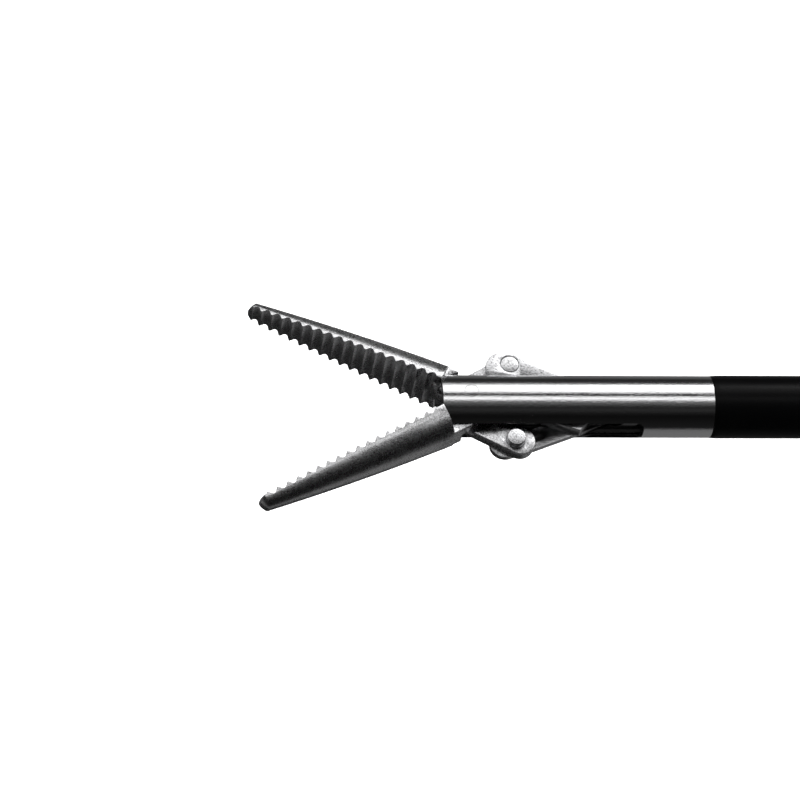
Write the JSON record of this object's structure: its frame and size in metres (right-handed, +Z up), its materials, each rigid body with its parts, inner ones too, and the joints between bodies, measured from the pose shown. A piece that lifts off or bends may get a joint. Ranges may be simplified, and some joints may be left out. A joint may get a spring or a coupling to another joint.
{
  "type": "laparoscopic surgical dissector",
  "caption": "Laparoscopic surgical dissector with toothed double-action jaws on links, an insulated shaft with a rotation knob, and a ring handle with a thumb lever.",
  "frame": {"origin": "on the shaft's axis, at the front face of the rotation knob", "axes": "+X along the shaft from the jaw tips to the handle, +Z up, away from the finger loop; the jaws turn about Z"},
  "size_m": [0.4373, 0.024, 0.1062],
  "materials": {
    "jaw_steel": "satin, bead blasted",
    "link_steel": "satin, wire cut",
    "polished_steel": "polished",
    "insulation": "satin black",
    "white_polymer": "matte",
    "seal_rubber": "matte",
    "brass": "machined",
    "knob_plastic": "satin",
    "handle_plastic": "fine texture",
    "liner_rubber": "matte"
  },
  "bodies": {
    "handle": {"handle_shell_left": "handle_plastic", "handle_shell_right": "handle_plastic", "handle_screws": "polished_steel", "knob_bearing": "white_polymer", "lever_pivot_screw": "polished_steel", "lever_pivot_nut": "polished_steel", "connector_pin": "polished_steel", "connector_collar": "insulation", "contact_brush": "brass", "finger_loop_liner": "liner_rubber"},
    "lever": {"thumb_lever": "handle_plastic", "lever_bush": "brass", "thumb_ring_liner": "liner_rubber"},
    "shaft": {"rotation_knob": "knob_plastic", "shaft_ferrule": "polished_steel", "retaining_ring": "polished_steel", "rod_seal": "seal_rubber", "seal_retainer": "white_polymer", "flush_port": "polished_steel", "flush_cap": "seal_rubber", "shaft_tube": "polished_steel", "insulating_sheath": "insulation", "jaw_housing": "polished_steel", "jaw_pivot_pin": "polished_steel"},
    "pull_rod": {"pull_rod": "polished_steel", "pull_rod_head": "link_steel", "rod_head_pin": "link_steel", "rod_sleeve": "white_polymer", "rod_ball": "polished_steel"},
    "jaw_left": {"jaw_left": "jaw_steel"},
    "jaw_right": {"jaw_right": "jaw_steel"},
    "link_left": {"link_left": "link_steel", "rivet_left": "link_steel"},
    "link_right": {"link_right": "link_steel", "rivet_right": "link_steel"}
  },
  "joints": [
    {"name": "lever_pivot", "type": "hinge", "parent": "handle", "child": "lever", "pos_m": [0.046, 0, -0.007], "axis": [0, 1, 0], "range_deg": [0, 13.6]},
    {"name": "shaft_rotation", "type": "hinge", "parent": "handle", "child": "shaft", "pos_m": [0.028, 0, 0], "axis": [1, 0, 0], "continuous": true},
    {"name": "rod_slide", "type": "slide", "parent": "shaft", "child": "pull_rod", "axis": [1, 0, 0], "range_m": [0, 0.00167]},
    {"name": "jaw_left_pivot", "type": "hinge", "parent": "shaft", "child": "jaw_left", "pos_m": [-0.3097, 0, 0], "axis": [0, 0, 1], "range_deg": [-27, 0]},
    {"name": "jaw_right_pivot", "type": "hinge", "parent": "shaft", "child": "jaw_right", "pos_m": [-0.3097, 0, 0], "axis": [0, 0, 1], "range_deg": [0, 27]},
    {"name": "link_left_pivot", "type": "hinge", "parent": "jaw_left", "child": "link_left", "pos_m": [-0.30615, 0.00336, 0], "axis": [0, 0, 1], "range_deg": [0, 39.8]},
    {"name": "link_right_pivot", "type": "hinge", "parent": "jaw_right", "child": "link_right", "pos_m": [-0.30615, -0.00336, 0], "axis": [0, 0, 1], "range_deg": [-39.8, 0]}
  ],
  "couplings": [
    {"joint": "rod_slide", "follows": "lever_pivot", "m_per_rad": 0.0069833},
    {"joint": "jaw_left_pivot", "follows": "lever_pivot", "ratio": -1.9713},
    {"joint": "jaw_right_pivot", "follows": "lever_pivot", "ratio": 1.9713},
    {"joint": "link_left_pivot", "follows": "lever_pivot", "ratio": 2.905},
    {"joint": "link_right_pivot", "follows": "lever_pivot", "ratio": -2.905}
  ]
}
